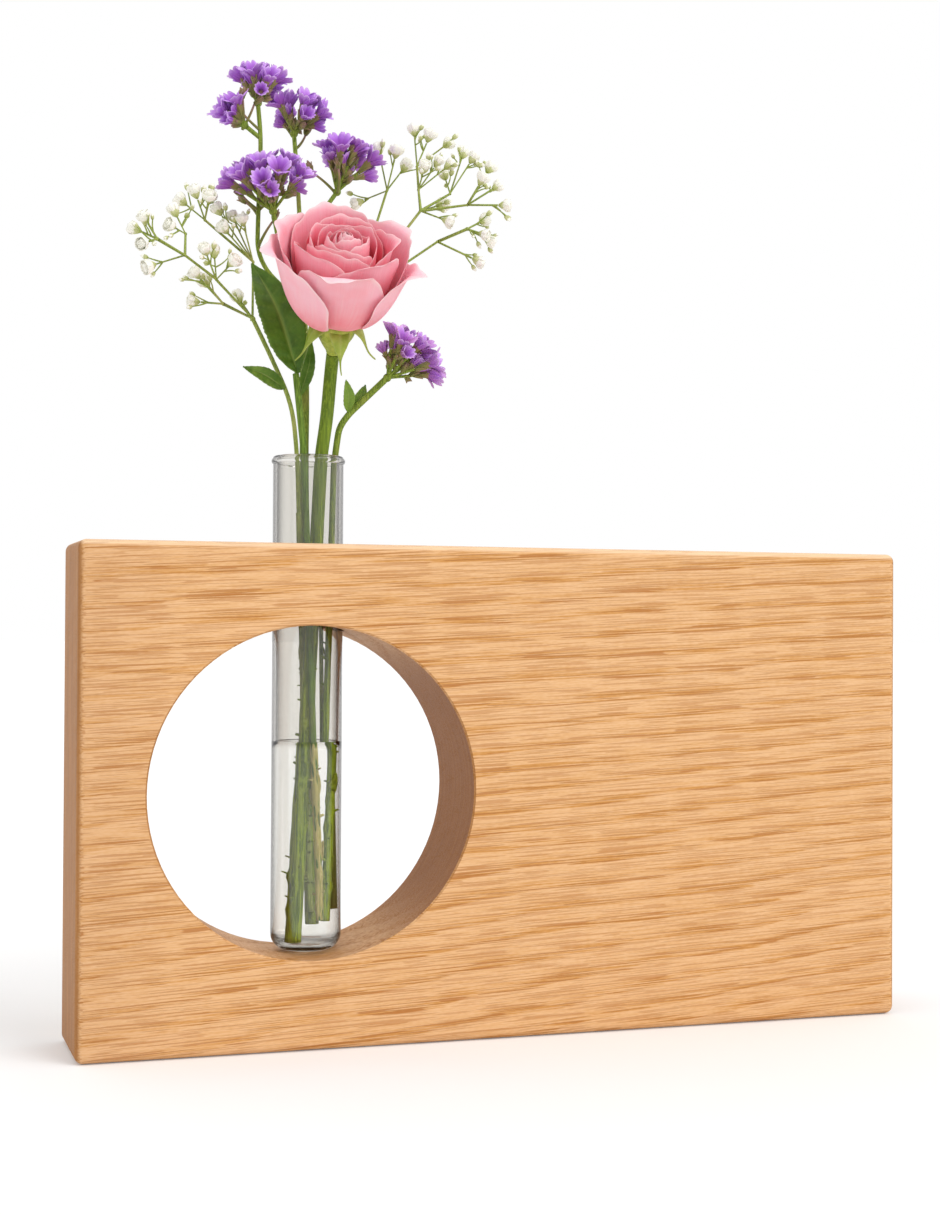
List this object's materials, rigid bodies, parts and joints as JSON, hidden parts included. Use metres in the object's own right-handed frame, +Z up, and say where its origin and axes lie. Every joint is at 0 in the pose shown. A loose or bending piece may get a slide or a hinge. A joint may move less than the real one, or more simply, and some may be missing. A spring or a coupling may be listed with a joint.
{
  "type": "test tube vase",
  "caption": "Upright oak board with a round cut-out; a glass test tube drops through a bore in its top edge and holds water and a bunch of cut flowers.",
  "frame": {"origin": "middle of the board's underside, on the surface that it stands on", "axes": "+Z up along the tube, +X to the right along the board seen from the front, front face to -Y"},
  "size_m": [0.264, 0.0799, 0.3025],
  "materials": {
    "oak": "oiled satin oak",
    "glass": "clear polished",
    "rose_green": "fresh stem",
    "rose_petal": "soft petal",
    "leaf_green": "waxy leaf",
    "statice_green": "fresh stem",
    "statice_purple": "papery",
    "gypsophila_green": "fine twig",
    "gypsophila_white": "soft petal"
  },
  "bodies": {
    "board": {"oak_board": "oak"},
    "tube": {"test_tube": "glass"},
    "bouquet": {"rose_stem": "rose_green", "rose_calyx": "rose_green", "rose_outer_petals": "rose_petal", "rose_middle_petals": "rose_petal", "rose_inner_petals": "rose_petal", "rose_heart": "rose_petal", "leaf_stem": "leaf_green", "large_leaf": "leaf_green", "small_leaves": "leaf_green", "statice_side_leaves": "leaf_green", "statice_tall_stem": "statice_green", "statice_side_stem": "statice_green", "statice_top_florets": "statice_purple", "statice_left_florets": "statice_purple", "statice_middle_florets": "statice_purple", "statice_right_florets": "statice_purple", "statice_large_florets": "statice_purple", "statice_side_florets": "statice_purple", "gypsophila_left_stem": "gypsophila_green", "gypsophila_right_stem": "gypsophila_green", "gypsophila_left_blossoms": "gypsophila_white", "gypsophila_right_blossoms": "gypsophila_white"}
  },
  "joints": [
    {"name": "tube_lift", "type": "slide", "parent": "board", "child": "tube", "axis": [0, 0, 1], "range_m": [0, 0.135]},
    {"name": "bouquet_lift", "type": "slide", "parent": "tube", "child": "bouquet", "axis": [0, 0, 1], "range_m": [0, 0.155]}
  ]
}
